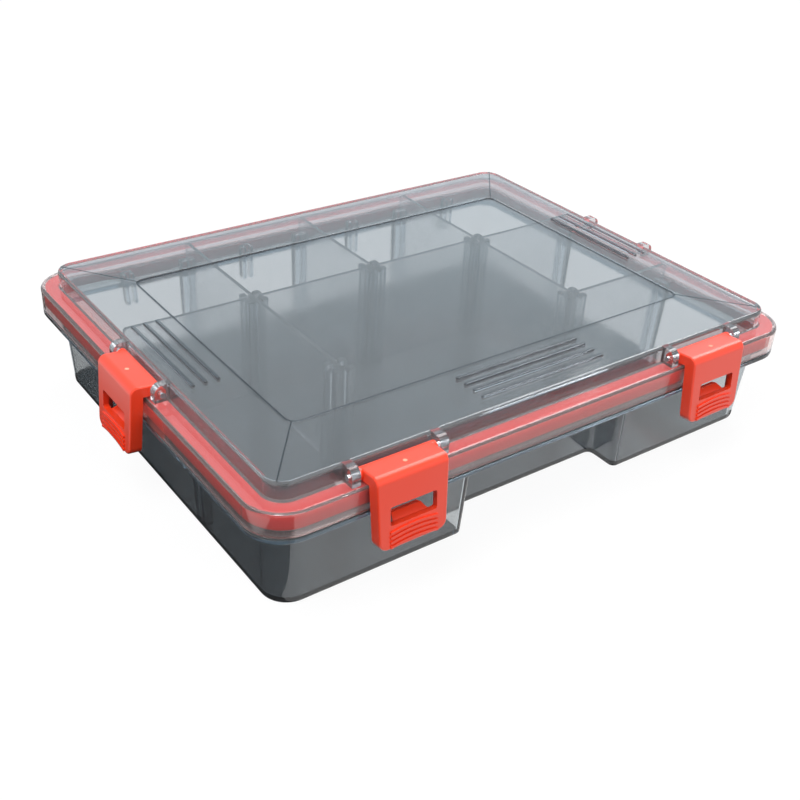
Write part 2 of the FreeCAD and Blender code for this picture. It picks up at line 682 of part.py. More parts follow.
# Seal: a soft ring under the lid's flange, inside its skirt
seal = new_body("lid_seal")
ring = new_sketch(seal, "seal_plan", "XY_Plane", SEAL_LOW)
rim_rectangle(ring, SEAL_INSET)
rim_rectangle(ring, "(%s + seal_width)" % SEAL_INSET)
feature(seal, "Pad", "seal_ring", ring, "seal_depth")
round_edges(seal, "seal_edge", "seal_round",
            lambda p: near(p.z, val(SEAL_LOW)))


# Latches: each is drawn snapped shut about its pivot at its own origin,
# its outer face towards -Y, then leaned out to its released rest
SILL = "(shelf_under - hook_gap - hook_barb - pivot_height)"
HOOK_TOP = "(shelf_under - hook_gap - pivot_height)"
WEB_BACK = "(pivot_inset + latch_play)"
PLATE_BACK = "(latch_reach - latch_plate)"


def make_latch(name, where, turn):
    body = new_body(name)
    side = new_sketch(body, name + "_profile", "YZ_Plane")
    outline(side, [
        ("-latch_reach", "-latch_drop", None),
        ("-" + WEB_BACK, "-latch_drop", None),
        ("-" + WEB_BACK, "-barrel_radius", None),
        ("barrel_radius / 4", "-barrel_radius", None),
        ("barrel_radius / 4", "barrel_radius", None),
        ("-latch_reach", "barrel_radius", "latch_bend")])
    feature(body, "Pad", name + "_bend", side, "latch_width", both=True)

    # The front view narrows towards the foot
    front = new_sketch(body, name + "_front", "XZ_Plane")
    outline(front, [
        ("-latch_foot / 2", "-latch_drop", "latch_corner"),
        ("latch_foot / 2", "-latch_drop", "latch_corner"),
        ("latch_width / 2", "barrel_radius + cut_over", None),
        ("-latch_width / 2", "barrel_radius + cut_over", None)])
    block(front, "-latch_width", "latch_width", "-latch_drop - cut_over",
          "barrel_radius + cut_over * 2")
    feature(body, "Pocket", name + "_taper", front, "latch_reach * 3",
            both=True)
    face, top = -val("latch_reach"), val("barrel_radius")
    bend = val("latch_bend")

    def on_skin(p):
        if p.y > -0.3:
            return False
        if near(p.y, face) or near(p.z, top):
            return True
        arc = math.hypot(p.y - face - bend, p.z - top + bend)
        return near(arc, bend) and p.y < face + bend and p.z > top - bend
    rim_of = []
    tapered = body.Tip
    tapered.Refine = True
    doc.recompute()
    for i, edge in enumerate(tapered.Shape.Edges, start=1):
        spots = [v.Point for v in edge.Vertexes]
        spots.append(edge.valueAt(
            (edge.FirstParameter + edge.LastParameter) / 2))
        flat = max(s.y for s in spots) - min(s.y for s in spots) < 0.01
        across = max(s.x for s in spots) > 1 and min(s.x for s in spots) < -1
        if across and not near(spots[0].z, -val("latch_drop")):
            continue
        if all(on_skin(s) or s.y > -0.3 for s in spots) and (
                all(on_skin(s) for s in spots) or near(spots[0].z, top)):
            rim_of.append("Edge%d" % i)
    rounded = body.newObject("PartDesign::Fillet", name + "_rounded")
    rounded.Base = (tapered, rim_of)
    rounded.setExpression("Radius", ex("latch_round"))
    body.Tip = rounded

    # Hollow behind the plate, between the side webs and above the lip
    back = new_sketch(body, name + "_hollow", "XZ_Plane", PLATE_BACK)
    outline(back, [
        ("-latch_foot / 2 + latch_web", "-latch_drop + latch_lip",
         "latch_corner - latch_lip"),
        ("latch_foot / 2 - latch_web", "-latch_drop + latch_lip",
         "latch_corner - latch_lip"),
        ("latch_width / 2 - latch_web", "barrel_radius - latch_plate", None),
        ("-latch_width / 2 + latch_web", "barrel_radius - latch_plate", None)])
    feature(body, "Pocket", name + "_inside", back, "latch_reach * 2")

    opening = new_sketch(body, name + "_window_plan", "XZ_Plane",
                         "latch_reach + cut_over")
    block(opening, "-window_width / 2", "window_width / 2", SILL,
          SILL + " + window_height", "window_corner")
    feature(body, "Pocket", name + "_window", opening, 
            "latch_plate + cut_over * 2")

    # Hook: rises to a barb at its tip, with a sloping lead-in below
    hook = new_sketch(body, name + "_hook_profile", "YZ_Plane")
    outline(hook, [
        ("-%s - latch_plate / 4" % PLATE_BACK, SILL + " - hook_depth", None),
        ("-%s + hook_nose" % PLATE_BACK, SILL + " - hook_depth * 0.8", None),
        ("-%s + hook_reach" % PLATE_BACK, SILL, None),
        ("-%s + hook_reach" % PLATE_BACK, HOOK_TOP, None),
        ("-%s + hook_reach - hook_nose" % PLATE_BACK, HOOK_TOP, None),
        ("-" + PLATE_BACK, SILL, None),
        ("-%s - latch_plate / 4" % PLATE_BACK, SILL, None)])
    feature(body, "Pad", name + "_hook", hook, "hook_width", both=True)
    for end, sign in (("a", "-"), ("b", "")):
        slant = new_sketch(body, "%s_slant_%s" % (name, end), "XY_Plane",
                           HOOK_TOP + " + cut_over")
        near_x, far_x = (sign + "(hook_width / 2)",
                         sign + "(hook_width / 2 - hook_cut)")
        corners = [(near_x, "-" + PLATE_BACK, None),
                   (near_x, "-%s + hook_reach + cut_over" % PLATE_BACK, None),
                   (far_x, "-%s + hook_reach + cut_over" % PLATE_BACK, None)]
        outline(slant, corners if sign == "" else corners[::-1])
        feature(body, "Pocket", "%s_end_%s" % (name, end), slant,
                "hook_barb + hook_depth + cut_over * 2")

    # Grip ridges follow a wide arc below the window
    grip = new_sketch(body, name + "_grip_plan", "XZ_Plane",
                      "latch_reach - detail_bite")
    mid = val(SILL + " - grip_first")
    half, wide = val("grip_width / 2"), val("grip_thick / 2")
    arch = val("grip_arch")
    centre = FreeCAD.Vector(0, mid - arch, 0)
    lean = math.asin(half / arch)
    up, down = arch + wide, arch - wide

    def ray(radius, angle):
        return centre + FreeCAD.Vector(
            radius * math.sin(angle), radius * math.cos(angle), 0)
    a, b, c, d = grip.addGeometry([
        Part.Arc(ray(up, -lean), ray(up, 0), ray(up, lean)),
        Part.Arc(ray(down, -lean), ray(down, 0), ray(down, lean)),
        Part.LineSegment(ray(up, -lean), ray(down, -lean)),
        Part.LineSegment(ray(down, lean), ray(up, lean))], False)
    hold(grip, [
        (None, "Coincident", a, 2, c, 1), (None, "Coincident", c, 2, b, 2),
        (None, "Coincident", b, 1, d, 1), (None, "Coincident", d, 2, a, 1),
        (None, "Coincident", a, 3, b, 3), (None, "PointOnObject", a, 3, -2),
        (None, "Vertical", c), (None, "Vertical", d),
        ("grip_arch + grip_thick / 2", "Radius", a),
        ("grip_arch - grip_thick / 2", "Radius", b),
        (SILL + " - grip_first - grip_arch", "DistanceY", -1, 1, a, 3),
        ("-grip_width / 2", "DistanceX", -1, 1, c, 1),
        ("grip_width / 2", "DistanceX", -1, 1, d, 1)])
    ridge = feature(body, "Pad", name + "_grip", grip, 
                    "grip_rise + detail_bite")
    row_of(body, name + "_grips", [ridge], "Z_Axis", "grip_pitch",
           "grip_count", back=True)

    roll = new_sketch(body, name + "_barrel_plan", "YZ_Plane")
    circle(roll, None, None, "barrel_radius")
    feature(body, "Pad", name + "_barrel", roll, "ear_gap - barrel_play * 2",
            both=True)
    eye = new_sketch(body, name + "_eye_plan", "YZ_Plane")
    circle(eye, None, None, "pivot_pin + pin_play")
    feature(body, "Pocket", name + "_eye", eye, "ear_gap + cut_over", both=True)

    lean_out = FreeCAD.Rotation(FreeCAD.Vector(1, 0, 0), -val("rest_angle"))
    swing = FreeCAD.Rotation(FreeCAD.Vector(0, 0, 1), turn)
    body.Placement = FreeCAD.Placement(
        FreeCAD.Vector(*where), swing.multiply(lean_out))
    return body


def make_pin(name, radius, length, where, axis):
    """A plain round pin centred on a point, lying along X or Y."""
    pin = doc.addObject("Part::Cylinder", name)
    pin.Label = name
    pin.setExpression("Radius", ex(radius))
    pin.setExpression("Height", ex(length))
    half = val(length) / 2
    spot = FreeCAD.Vector(*where)
    if axis == "X":
        pin.Placement = FreeCAD.Placement(
            spot - FreeCAD.Vector(half, 0, 0),
            FreeCAD.Rotation(FreeCAD.Vector(0, 1, 0), 90))
    else:
        pin.Placement = FreeCAD.Placement(
            spot - FreeCAD.Vector(0, half, 0),
            FreeCAD.Rotation(FreeCAD.Vector(1, 0, 0), -90))
    return pin


pivot_z = val("pivot_height")
spots = {
    "front_left": ((-val("latch_station"), -val(PIVOT_Y), pivot_z), 0, "X"),
    "front_right": ((val("latch_station"), -val(PIVOT_Y), pivot_z), 0, "X"),
    "left": ((-val(PIVOT_X), 0.0, pivot_z), -90, "Y"),
}
pieces = [tray, lid, seal]
for place, (where, turn, axis) in spots.items():
    pieces.append(make_latch("latch_" + place, where, turn))
    pieces.append(make_pin("latch_pin_" + place, "pivot_pin",
                           "ear_gap + ear_thick * 2", where, axis))
for side, sign in (("left", -1), ("right", 1)):
    where = (sign * val("hinge_station"), val(HINGE_Y), val(HINGE_Z))
    pieces.append(make_pin("hinge_pin_" + side, "hinge_pin",
                           HINGE_HALF + " * 2", where, "X"))


# Dividers stand on the floor with their ends in the grooves
POST_END = "(post_size / 2 - groove_depth + divider_play)"
WALL_END_X = ("(box_length / 2 - %s - station_depth + groove_depth"
              " - divider_play)" % TRAY_INSET)
WALL_END_Y = ("(box_width / 2 - %s - station_depth + groove_depth"
              " - divider_play)" % TRAY_INSET)


def divider(name, plane, line, start, end):
    """A plate on a line of the grid, from start to end along it."""
    body = new_body(name)
    sketch = new_sketch(body, name + "_face", plane, line)
    outline(sketch, [
        (start, "floor_thick", None), (end, "floor_thick", None),
        (end, DIVIDER_TOP, "divider_corner"),
        (start, DIVIDER_TOP, "divider_corner")])
    feature(body, "Pad", name + "_plate", sketch, "divider_thick", both=True)
    return body


# Rows along X, at the back row of posts and from the front right post
columns = ["-" + WALL_END_X, "-cell_pitch", "0", "cell_pitch", WALL_END_X]
for i in range(4):
    start = columns[0] if i == 0 else "%s + %s" % (columns[i], POST_END)
    end = columns[4] if i == 3 else "%s - %s" % (columns[i + 1], POST_END)
    pieces.append(divider("divider_row_%d" % (i + 1), "XZ_Plane",
                          "-back_row", start, end))
pieces.append(divider("divider_right", "XZ_Plane", "front_row",
                      "cell_pitch + " + POST_END, WALL_END_X))
# Cross plates behind the row, and two that run forward from it
for i, line in enumerate(("-cell_pitch", None, "cell_pitch"), start=1):
    pieces.append(divider("divider_back_%d" % i, "YZ_Plane", line,
                          "back_row + " + POST_END, WALL_END_Y))
for side, line in (("left", "-cell_pitch"), ("right", "cell_pitch")):
    pieces.append(divider("divider_front_" + side, "YZ_Plane", line,
                          "-front_row + " + POST_END, "back_row - " + POST_END))

for piece in pieces:
    if piece.TypeId == "PartDesign::Body":
        piece.Tip.Refine = True
doc.recompute()

# Checks before anything is written
for thing in doc.Objects:
    bad = [state for state in thing.State if state in ("Invalid", "Error")]
    if bad:
        raise RuntimeError("%s failed: %s" % (thing.Name, bad))
for piece in pieces:
    shape = piece.Shape
    if shape.isNull() or not shape.isValid() or len(shape.Solids) != 1:
        raise RuntimeError("%s is not one valid solid" % piece.Label)

for piece in pieces:
    piece.Shape.exportStep("parts/%s.step" % piece.Label)
    print(piece.Label, round(piece.Shape.Volume, 1),
          [round(v, 2) for v in (
              piece.Shape.BoundBox.XMin, piece.Shape.BoundBox.XMax,
              piece.Shape.BoundBox.YMin, piece.Shape.BoundBox.YMax,
              piece.Shape.BoundBox.ZMin, piece.Shape.BoundBox.ZMax)])
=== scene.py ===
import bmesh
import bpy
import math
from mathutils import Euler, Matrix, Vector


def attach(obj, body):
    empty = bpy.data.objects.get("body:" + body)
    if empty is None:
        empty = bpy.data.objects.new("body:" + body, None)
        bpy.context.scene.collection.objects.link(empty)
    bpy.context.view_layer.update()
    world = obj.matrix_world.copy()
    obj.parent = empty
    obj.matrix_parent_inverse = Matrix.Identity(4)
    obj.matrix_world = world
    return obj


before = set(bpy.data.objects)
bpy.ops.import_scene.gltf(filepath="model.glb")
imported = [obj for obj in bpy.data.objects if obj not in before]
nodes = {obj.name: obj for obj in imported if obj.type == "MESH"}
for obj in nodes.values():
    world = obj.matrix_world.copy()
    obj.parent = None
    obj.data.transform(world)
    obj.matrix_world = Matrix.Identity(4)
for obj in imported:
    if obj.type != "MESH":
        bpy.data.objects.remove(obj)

# %% [markdown]
# # A clear tackle box with red latches
# The box is a shallow tray with a hinged lid, both moulded in clear plastic with a
# faint smoke tint. A red seal runs round the lid's rim, and red latches hang on ears
# of the lid. The frame already holds every solid at its real size, in metres, with
# +Z up and the two front latches towards -Y. This lesson gives those solids their
# finishes, adds the small marks that moulding leaves, draws the dark lines of the
# lid's fillet and folds in painted shade, and lights the box as a product on a white
# table.

scene = bpy.context.scene
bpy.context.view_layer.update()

# %% [markdown]
# ## Small helpers for nodes
# Every finish below is a handful of nodes. They could be placed and joined by hand in
# the shader editor, but a script shows each value once and in order. Four short
# helpers keep it readable: one sets a node's values, one adds a node with its values,
# one feeds a socket with either a value or another node's output, and one does sums.

# %% Helpers that set, add, feed and reckon
def give(node, values):
    """Set the sockets of a node, by their labels."""
    for label, value in values.items():
        node.inputs[label].default_value = value


def add_node(tree, kind, values=None):
    """A new node of this kind, with the values that its sockets start from."""
    node = tree.nodes.new(kind)
    give(node, values or {})
    return node


def feed(tree, value, socket):
    """Link an output to a socket, or set the socket to a plain value."""
    if isinstance(value, bpy.types.NodeSocket):
        tree.links.new(value, socket)
    else:
        socket.default_value = value


def reckon(tree, operation, *values):
    """The output of a math node that is fed by sockets or plain numbers."""
    node = add_node(tree, "ShaderNodeMath")
    node.operation = operation
    for value, socket in zip(values, node.inputs):
        feed(tree, value, socket)
    return node.outputs["Value"]


print("helpers", [helper.__name__ for helper in (give, add_node, feed, reckon)])

# %% [markdown]
# ## Effects that several finishes share
# Moulded plastic is never quite even. Its gloss varies in soft patches, where the
# mould was polished by hand, and its faces ripple a little, where the plastic shrank.
# Both could be painted as images, but noise read from the object's own coordinates
# needs no unwrapping and stays fixed to the piece. Each effect is one node group with
# named sockets, built once and placed in every finish with its own values.

# %% A helper that opens a node group with named sockets
def open_group(name, inputs, output):
    """A new group of number sockets: inputs as (label, value), and one output."""
    group = bpy.data.node_groups.new(name, "ShaderNodeTree")
    for label, value in inputs:
        socket = group.interface.new_socket(
            name=label, in_out="INPUT", socket_type="NodeSocketFloat")
        socket.default_value = value
    group.interface.new_socket(
        name=output, in_out="OUTPUT", socket_type="NodeSocketFloat")
    enter = add_node(group, "NodeGroupInput")
    leave = add_node(group, "NodeGroupOutput")
    print("group", name, "turns", [label for label, _ in inputs], "into", output)
    return group, enter, leave


# %% Group: gloss that varies in soft patches
PATCHES_PER_METRE = 40.0
patchy, enter, leave = open_group(
    "patchy_gloss", [("Low", 0.05), ("High", 0.12)], "Roughness")
place = add_node(patchy, "ShaderNodeTexCoord")
cloud = add_node(patchy, "ShaderNodeTexNoise",
                 {"Scale": PATCHES_PER_METRE, "Detail": 3.0})
spread = add_node(patchy, "ShaderNodeMapRange", {"From Min": 0.35, "From Max": 0.65})
patchy.links.new(place.outputs["Object"], cloud.inputs["Vector"])
patchy.links.new(cloud.outputs["Fac"], spread.inputs["Value"])
patchy.links.new(enter.outputs["Low"], spread.inputs["To Min"])
patchy.links.new(enter.outputs["High"], spread.inputs["To Max"])
patchy.links.new(spread.outputs["Result"], leave.inputs["Roughness"])
print(patchy.name, "has", len(patchy.nodes), "nodes")

# %% Group: ripple and fine grain for a bump's height
ripple, enter, leave = open_group(
    "mould_ripple",
    [("Ripples per metre", 30.0), ("Grain per metre", 2500.0), ("Grain share", 0.1)],
    "Height")
place = add_node(ripple, "ShaderNodeTexCoord")
wave = add_node(ripple, "ShaderNodeTexNoise", {"Detail": 1.0})
grain = add_node(ripple, "ShaderNodeTexNoise", {"Detail": 2.0})
blend = add_node(ripple, "ShaderNodeMix")
ripple.links.new(place.outputs["Object"], wave.inputs["Vector"])
ripple.links.new(place.outputs["Object"], grain.inputs["Vector"])
ripple.links.new(enter.outputs["Ripples per metre"], wave.inputs["Scale"])
ripple.links.new(enter.outputs["Grain per metre"], grain.inputs["Scale"])
ripple.links.new(enter.outputs["Grain share"], blend.inputs["Factor"])
ripple.links.new(wave.outputs["Fac"], blend.inputs["A"])
ripple.links.new(grain.outputs["Fac"], blend.inputs["B"])
ripple.links.new(blend.outputs["Result"], leave.inputs["Height"])
print(ripple.name, "has", len(ripple.nodes), "nodes")

# %% [markdown]
# ## The finish that all the pieces start from
# Plastic, silicone and steel differ in colour and gloss, but each is one Principled
# shader whose roughness comes from the patches and whose surface comes from the
# ripples. Each could be built alone. One helper that takes the values is shorter, and
# it gives every piece the same kind of unevenness.

# %% A helper that makes a finish from both groups
def shader_of(material):
    """The Principled shader of a material."""
    return material.node_tree.nodes["Principled BSDF"]


def finish(name, colour, low, high, bump_mm, ripples=30.0, grain=2500.0,
           grain_share=0.1):
    """A material with a bump in mm, whose roughness runs from low to high."""
    made = bpy.data.materials.new(name)
    made.use_nodes = True
    tree = made.node_tree
    shader = shader_of(made)
    give(shader, {"Base Color": (*colour, 1.0)})
    gloss = add_node(tree, "ShaderNodeGroup")
    gloss.node_tree = patchy
    give(gloss, {"Low": low, "High": high})
    tree.links.new(gloss.outputs["Roughness"], shader.inputs["Roughness"])
    relief = add_node(tree, "ShaderNodeGroup")
    relief.node_tree = ripple
    give(relief, {"Ripples per metre": ripples, "Grain per metre": grain,
                  "Grain share": grain_share})
    bump = add_node(tree, "ShaderNodeBump", {"Distance": bump_mm / 1000})
    tree.links.new(relief.outputs["Height"], bump.inputs["Height"])
    tree.links.new(bump.outputs["Normal"], shader.inputs["Normal"])
    print("finish", made.name, "roughness", low, "to", high)
    return made


print("helpers", [helper.__name__ for helper in (shader_of, finish)])

# %% [markdown]
# ## Clear plastic with a smoke tint
# The tray and the lid are a clear styrene-like plastic, a little grey. A see-through
# look could be faked with alpha, but then edges, posts and rounded corners would not
# bend the light, and those dark and bright lines are what makes a clear moulding
# read as one. So the finish is a real transmitting shader on walls of real thickness.
# A few percent of it isn't clear but scatters, which is the faint haze of moulded
# plastic under a lamp. Light on its way to a lamp, and light that bounces off matt
# things, needn't bend: for those rays the faces only dim what passes, so the inside
# is lit without the speckle of focused light.

# %% A helper that makes a clear finish
PLASTIC_IOR = 1.55


def mix_shaders(tree, share, first, second, out):
    """Send two shaders, mixed by a share, to the surface of an output node."""
    mixed = add_node(tree, "ShaderNodeMixShader")
    tree.links.new(share, mixed.inputs[0])
    tree.links.new(first.outputs[0], mixed.inputs[1])
    tree.links.new(second.outputs[0], mixed.inputs[2])
    tree.links.new(mixed.outputs[0], out.inputs["Surface"])


def clear_finish(name, tint, low, high, passed, clear):
    """Clear plastic that scatters a little.

    passed is the share of light that goes straight on through one face, and
    clear is the share of the plastic's look that isn't haze.
    """
    made = finish(name, tint, low, high, bump_mm=0.02, ripples=18.0)
    tree = made.node_tree
    shader = shader_of(made)
    give(shader, {"Transmission Weight": clear, "IOR": PLASTIC_IOR})
    through = add_node(tree, "ShaderNodeBsdfTransparent", {"Color": (*passed, 1.0)})
    path = add_node(tree, "ShaderNodeLightPath")
    straight = reckon(tree, "MAXIMUM", path.outputs["Is Shadow Ray"],
                      path.outputs["Is Diffuse Ray"])
    mix_shaders(tree, straight, shader, through, tree.nodes["Material Output"])
    return made


print("clear finishes bend light by", PLASTIC_IOR)

# %% [markdown]
# ## The tray and its dividers
# The tray's walls are thin and look pale, while its slotted posts are thick and look
# dark. A darker tint on the posts could paint that. Here the plastic itself takes the
# light: its inside absorbs a little on every millimetre, so each form gets as dark as
# it is thick. The dividers have one thickness all over, so a tint on their faces does
# the same for them, and their polish is softer.

# %% The tray's and the dividers' finishes
SMOKE_COLOUR = (0.45, 0.55, 0.62)
SMOKE_DENSITY = 300.0
clear_tray = clear_finish(
    "clear_smoke_tray", (0.98, 0.95, 0.92), low=0.05, high=0.10,
    passed=(0.46, 0.49, 0.54), clear=0.975)
tree = clear_tray.node_tree
smoke = add_node(tree, "ShaderNodeVolumeAbsorption",
                 {"Color": (*SMOKE_COLOUR, 1.0), "Density": SMOKE_DENSITY})
tree.links.new(smoke.outputs["Volume"], tree.nodes["Material Output"].inputs["Volume"])
clear_divider = clear_finish(
    "clear_divider", (0.74, 0.76, 0.77), low=0.10, high=0.18,
    passed=(0.80, 0.82, 0.84), clear=0.98)
print("smoke in the tray's plastic", SMOKE_DENSITY, "per metre")

# %% [markdown]
# ## The lid's changing tint
# A lid's tint isn't the same everywhere: the low flange over the seal is thin and
# clear, the roof is smokier, and its ribs are the thickest. The ribs' very dark tint is
# partly that thickness and partly painted shade, for the dark lines that the ribs draw
# by bending the light. Three materials could be given to three sets of faces, but the
# lid is one moulding with no seams. So a group turns the height over the table into a
# share, and one finish passes from each tint to the next where the real wall gets
# thicker. The flange's pink is painted light: a glow of the red seal under it.

# %% Group: a share that changes with height
by_height, enter, leave = open_group(
    "share_by_height", [("Low", 0.0), ("High", 0.01)], "Share")
place = add_node(by_height, "ShaderNodeTexCoord")
parts = add_node(by_height, "ShaderNodeSeparateXYZ")
climb = add_node(by_height, "ShaderNodeMapRange")
by_height.links.new(place.outputs["Object"], parts.inputs["Vector"])
by_height.links.new(parts.outputs["Z"], climb.inputs["Value"])
by_height.links.new(enter.outputs["Low"], climb.inputs["From Min"])
by_height.links.new(enter.outputs["High"], climb.inputs["From Max"])
by_height.links.new(climb.outputs["Result"], leave.inputs["Share"])
print(by_height.name, "has", len(by_height.nodes), "nodes")


# %% Helpers that pass from one colour to another
def blend_colours(tree, share, first, second):
    """The output of a node that passes from the first colour to the second."""
    node = add_node(tree, "ShaderNodeMix")
    node.data_type = "RGBA"
    tree.links.new(share, node.inputs["Factor"])
    feed(tree, first, node.inputs["A"])
    feed(tree, second, node.inputs["B"])
    return node.outputs["Result"]


def share_of_height(tree, low, high):
    """The share of the way from the low height to the high one."""
    node = add_node(tree, "ShaderNodeGroup")
    node.node_tree = by_height
    give(node, {"Low": low, "High": high})
    return node.outputs["Share"]


print("helpers", [helper.__name__ for helper in (blend_colours, share_of_height)])

# %% The lid's finish
# The flange's tint: its thin clear plastic, with a painted pink glow of the seal under
# it
RIM_TINT_AND_SEAL_GLOW = (0.92, 0.72, 0.70, 1.0)
ROOF_TINT = (0.695, 0.705, 0.725, 1.0)
# The ribs' tint: partly their thickness, partly painted shade for the dark lines they
# draw
RIB_TINT_AND_SHADE = (0.20, 0.22, 0.25, 1.0)
RIM_TO_ROOF = (0.0400, 0.0415)
ROOF_TO_RIB = (0.04602, 0.04612)
clear_lid = clear_finish(
    "clear_smoke_lid", ROOF_TINT[:3], low=0.03, high=0.07,
    passed=(0.95, 0.95, 0.96), clear=0.955)
tree = clear_lid.node_tree
# These blends carry the painted seal glow onto the flange and the painted shade onto
# the ribs
tint = blend_colours(tree, share_of_height(tree, *RIM_TO_ROOF), RIM_TINT_AND_SEAL_GLOW, ROOF_TINT)
tint = blend_colours(tree, share_of_height(tree, *ROOF_TO_RIB), tint, RIB_TINT_AND_SHADE)
tree.links.new(tint, shader_of(clear_lid).inputs["Base Color"])
print("the lid's tint changes at", RIM_TO_ROOF, "and", ROOF_TO_RIB, "m")

# %% [markdown]
# ## Red latches, red seal and steel pins
# The latches are an opaque orange-red plastic with a semi-gloss skin, which a coat
# over a rougher colour gives better than one smooth layer. The seal is a soft silicone
# of a deeper red. Light enters it from outside and comes out again on the inner side,
# so it glows through the lid even at the back, and subsurface scattering does just
# that. The pins are plain drawn steel rod, dulled by handling.

# %% The opaque finishes
latch_red = finish(
    "latch_red", (0.82, 0.046, 0.012), low=0.28, high=0.38, bump_mm=0.03,
    ripples=60.0, grain=3500.0, grain_share=0.25)
give(shader_of(latch_red), {"Coat Weight": 0.6, "Coat Roughness": 0.30})
seal_red = finish(
    "seal_red", (0.50, 0.008, 0.006), low=0.50, high=0.65, bump_mm=0.03, ripples=90.0)
give(shader_of(seal_red), {
    "Subsurface Weight": 0.7, "Subsurface Radius": (1.0, 0.08, 0.06),
    "Subsurface Scale": 0.006})
drawn_steel = finish(
    "drawn_steel", (0.34, 0.34, 0.35), low=0.58, high=0.72, bump_mm=0.01,
    ripples=200.0)
give(shader_of(drawn_steel), {"Metallic": 1.0})
print("opaque finishes", [made.name for made in (latch_red, seal_red, drawn_steel)])

# %% [markdown]
# ## Dressing the solids
# On the real box one moulding has one material all over, so each solid takes one
# finish. The finish could be picked by hand for each of them. The names already say
# what each solid is, so a short loop does it and can't miss one.

# %% Each solid gets its finish
finish_of = {"base_tray": clear_tray, "lid": clear_lid, "lid_seal": seal_red}
for name in nodes:
    if name.startswith("divider"):
        finish_of[name] = clear_divider
    elif "_pin" in name:
        finish_of[name] = drawn_steel
    elif name.startswith("latch"):
        finish_of[name] = latch_red
for name, solid in nodes.items():
    solid.data.materials.clear()
    solid.data.materials.append(finish_of[name])
print("finished", len(finish_of), "solids")

# %% [markdown]
# ## Gate marks on the latches
# Where the plastic entered the mould, each latch keeps a small pale dot in the middle
# of its top. It could be a spot in the latch's colour, but a real one stands a little
# proud and catches the light. So it is a disc: a circle, extruded, turned with its
# latch and sunk by half into the latch's top face.

# %% Helpers that raise a flat shape and make it a piece
def raise_faces(bm, rise):
    """Extrude every face straight up and turn all faces outwards."""
    raised = bmesh.ops.extrude_face_region(bm, geom=bm.faces[:])
    tops = [part for part in raised["geom"] if isinstance(part, bmesh.types.BMVert)]
    bmesh.ops.translate(bm, verts=tops, vec=(0, 0, rise))
    bmesh.ops.recalc_face_normals(bm, faces=bm.faces[:])


def add_piece(name, bm, material):
    """The finished bmesh as an object at the origin, in one material."""
    open_edges = sum(1 for edge in bm.edges if len(edge.link_faces) != 2)
    print(name, "has", len(bm.faces), "faces and", open_edges, "open edges")
    mesh = bpy.data.meshes.new(name)
    bm.to_mesh(mesh)
    bm.free()
    mesh.materials.append(material)
    made = bpy.data.objects.new(name, mesh)
    scene.collection.objects.link(made)
    return made


print("helpers", [helper.__name__ for helper in (raise_faces, add_piece)])

# %% Where each latch turns, and which way it faces in degrees
PIVOTS = {
    "latch_front_left": ((-0.065, -0.083, 0.0423), 0),
    "latch_front_right": ((0.065, -0.083, 0.0423), 0),
    "latch_left": ((-0.1067, 0.0, 0.0423), -90),
}
REST_LEAN = -5.0
print("latches lean out by", -REST_LEAN, "degrees at", list(PIVOTS))

# %% A gate mark for each latch
GATE_RADIUS = 0.0007
GATE_RISE = 0.00012
GATE_SIDES = 24
GATE_OUT = 0.0043
LATCH_TOP = 0.0019
gate_pale = finish(
    "gate_pale", (0.90, 0.32, 0.22), low=0.35, high=0.5, bump_mm=0.01, ripples=200.0)
for latch, (pivot, facing) in PIVOTS.items():
    bm = bmesh.new()
    bmesh.ops.create_circle(
        bm, cap_ends=True, segments=GATE_SIDES, radius=GATE_RADIUS)
    raise_faces(bm, GATE_RISE * 2)
    bmesh.ops.translate(bm, verts=bm.verts[:],
                        vec=(0, -GATE_OUT, LATCH_TOP - GATE_RISE))
    lean = Matrix.Rotation(math.radians(REST_LEAN), 4, "X")
    turn = Matrix.Rotation(math.radians(facing), 4, "Z")
    bm.transform(Matrix.Translation(pivot) @ turn @ lean)
    mark = add_piece("gate_" + latch, bm, gate_pale)
    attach(mark, latch)
print("gate marks", len(PIVOTS))

# %% [markdown]
# ## The fillet round the lid's panel
# The lid's inner panel lies a step lower than the frame round it. On a moulding such a
# step has a small fillet in its corner, which bends the light away and so draws a thin
# dark line. A bevel of the lid itself could draw it, but the lid stays as it came from
# the frame. So the fillet is a flat ring whose dark plastic is painted shade for that
# line: a plane gets round corners, is inset, loses its middle and is extruded.

# %% The fillet
PANEL_HALF = (0.0841, 0.05535)
PANEL_CORNER = 0.0041
CORNER_STEPS = 8
FILLET_WIDTH = 0.00090
FILLET_LOW = 0.04500
FILLET_RISE = 0.00024
# This dark tint is painted shade: the thin dark line that the bent light draws
painted_shade_clear = clear_finish(
    "clear_painted_shade", (0.15, 0.17, 0.20), low=0.05, high=0.10,
    passed=(0.60, 0.62, 0.65), clear=1.0)
bm = bmesh.new()
bmesh.ops.create_grid(bm, x_segments=1, y_segments=1, size=1.0)
bmesh.ops.scale(bm, vec=(*PANEL_HALF, 1.0), verts=bm.verts[:])
bmesh.ops.translate(bm, vec=(0, 0, FILLET_LOW), verts=bm.verts[:])
bmesh.ops.bevel(bm, geom=bm.verts[:], affect="VERTICES", offset=PANEL_CORNER,
                segments=CORNER_STEPS, profile=0.5, material=-1)
bmesh.ops.inset_region(bm, faces=bm.faces[:], thickness=FILLET_WIDTH,
                       use_boundary=True, use_even_offset=True)
middle = max(bm.faces, key=lambda face: face.calc_area())
bmesh.ops.delete(bm, geom=[middle], context="FACES")
raise_faces(bm, FILLET_RISE)
panel_edge_shade = add_piece("panel_edge_shade", bm, painted_shade_clear)
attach(panel_edge_shade, "lid")
